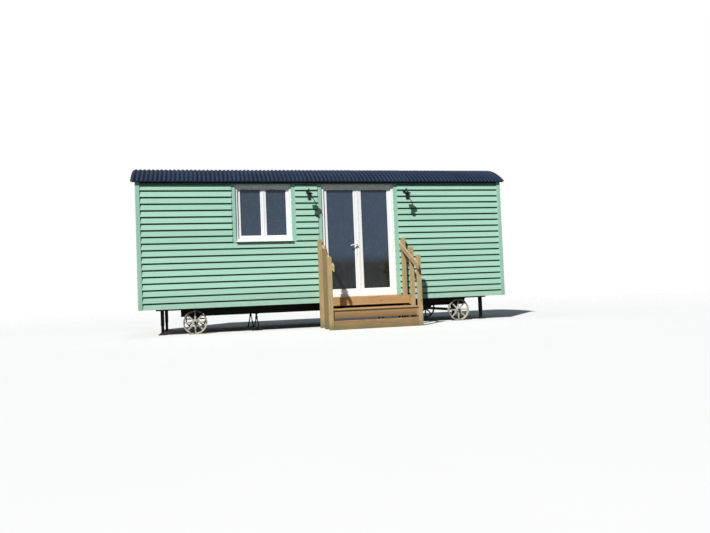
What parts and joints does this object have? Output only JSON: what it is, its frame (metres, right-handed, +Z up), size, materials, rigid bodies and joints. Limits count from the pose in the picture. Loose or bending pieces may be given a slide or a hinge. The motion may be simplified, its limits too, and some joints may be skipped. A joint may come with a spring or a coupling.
{
  "type": "shepherds hut",
  "caption": "Timber hut on a low wheeled chassis with a curved corrugated roof, a window, glazed double doors that open inwards, and timber steps with handrails.",
  "frame": {"origin": "middle of the plan, on the ground", "axes": "+Z up; +X to the right along the front; the front, with its doors and steps, faces -Y"},
  "size_m": [7.0486, 3.217, 3.0977],
  "materials": {
    "wall_paint": "satin paint",
    "trim_paint": "satin paint",
    "roof_steel": "satin",
    "white_plastic": "gloss",
    "glass": "polished",
    "handle_metal": "polished",
    "hinge_white": "satin",
    "lamp_black": "satin",
    "lamp_pane": "polished",
    "step_timber": "sawn",
    "floor_timber": "planed",
    "chassis_steel": "matt",
    "wheel_iron": "rusted"
  },
  "bodies": {
    "hut": {"floor": "floor_timber", "front_wall_left": "wall_paint", "front_wall_right": "wall_paint", "front_wall_over_door": "wall_paint", "door_sill_beam": "floor_timber", "back_wall": "wall_paint", "left_end_wall": "wall_paint", "right_end_wall": "wall_paint", "corner_trims": "trim_paint", "opening_trims": "trim_paint", "gable_trims": "trim_paint", "eave_boards": "trim_paint", "roof_deck": "floor_timber", "roof_sheet_1": "roof_steel", "roof_sheet_2": "roof_steel", "roof_sheet_3": "roof_steel", "roof_sheet_4": "roof_steel", "roof_sheet_5": "roof_steel", "roof_sheet_6": "roof_steel", "roof_sheet_7": "roof_steel", "window_frame": "white_plastic", "window_sashes": "white_plastic", "window_glass": "glass", "door_frame": "white_plastic", "hinge_pins": "hinge_white", "wall_lamps": "lamp_black", "lamp_glass": "lamp_pane", "step_posts": "step_timber", "handrails": "step_timber", "landing": "step_timber", "lower_step": "step_timber", "step_sides": "step_timber", "chassis_beams": "chassis_steel", "cross_members": "chassis_steel", "axles": "chassis_steel", "wheels": "wheel_iron", "corner_legs": "chassis_steel", "axle_stands": "chassis_steel"},
    "left_leaf": {"left_door": "white_plastic", "left_door_glass": "glass", "door_handle": "handle_metal", "left_door_hinges": "hinge_white"},
    "right_leaf": {"right_door": "white_plastic", "right_door_glass": "glass", "right_door_hinges": "hinge_white"}
  },
  "joints": [
    {"name": "left_door_swing", "type": "hinge", "parent": "hut", "child": "left_leaf", "pos_m": [-0.12, -0.45554, 1.2], "axis": [0, 0, 1], "range_deg": [0, 90]},
    {"name": "right_door_swing", "type": "hinge", "parent": "hut", "child": "right_leaf", "pos_m": [1.206, -0.45554, 1.2], "axis": [0, 0, -1], "range_deg": [0, 90]}
  ]
}
